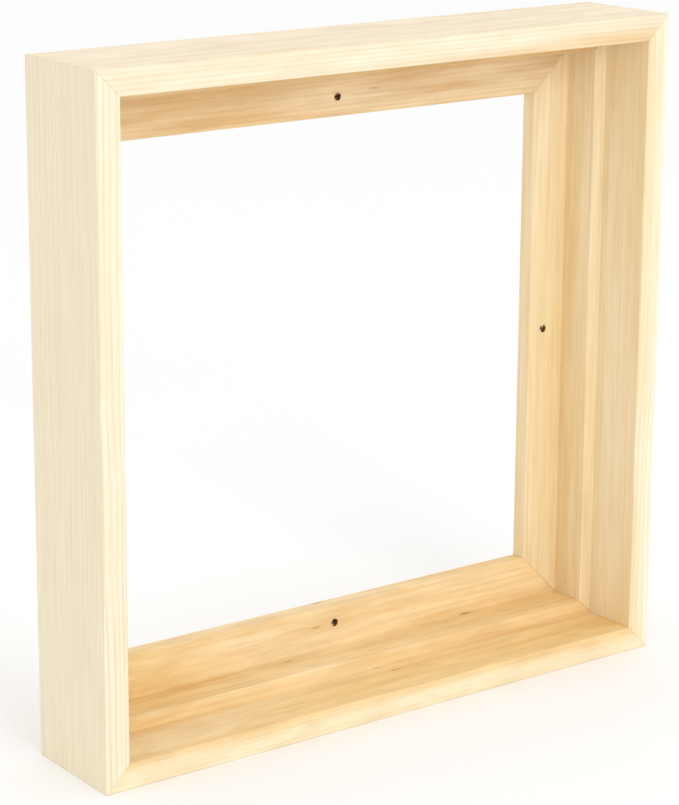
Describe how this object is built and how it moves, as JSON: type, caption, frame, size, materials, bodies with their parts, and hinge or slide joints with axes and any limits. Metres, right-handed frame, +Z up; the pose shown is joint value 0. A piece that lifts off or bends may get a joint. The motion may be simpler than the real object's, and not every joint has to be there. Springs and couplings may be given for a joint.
{
  "type": "floating frame",
  "caption": "Deep square floating frame in pale mitred hardwood, with a stepped inside, a drilled rear flange for artwork and hanging rings behind.",
  "frame": {"origin": "middle of the base that the frame stands on, centred on its whole depth with the wall bumpers", "axes": "+X to the right seen from the front, +Y from the front to the wall side, +Z up"},
  "size_m": [0.2904, 0.0568, 0.2905],
  "materials": {
    "hardwood": "sanded, no finish applied",
    "nail_steel": "plain rolled strip",
    "plated_steel": "nickel plated",
    "screw_steel": "zinc plated",
    "bumper_rubber": "matt moulded"
  },
  "bodies": {
    "frame": {"bottom_rail": "hardwood", "top_rail": "hardwood", "left_stile": "hardwood", "right_stile": "hardwood", "bottom_left_corner_nails": "nail_steel", "top_left_corner_nails": "nail_steel", "left_hanger_strap": "plated_steel", "left_hanger_screw": "screw_steel", "left_wall_bumper": "bumper_rubber", "bottom_right_corner_nails": "nail_steel", "top_right_corner_nails": "nail_steel", "right_hanger_strap": "plated_steel", "right_hanger_screw": "screw_steel", "right_wall_bumper": "bumper_rubber"},
    "left_ring": {"left_hanging_ring": "plated_steel"},
    "right_ring": {"right_hanging_ring": "plated_steel"}
  },
  "joints": [
    {"name": "left_ring_swing", "type": "hinge", "parent": "frame", "child": "left_ring", "pos_m": [-0.13475, 0.02548, 0.2055], "axis": [1, 0, 0], "range_deg": [0, 174]},
    {"name": "right_ring_swing", "type": "hinge", "parent": "frame", "child": "right_ring", "pos_m": [0.13475, 0.02548, 0.2055], "axis": [1, 0, 0], "range_deg": [0, 174]}
  ]
}
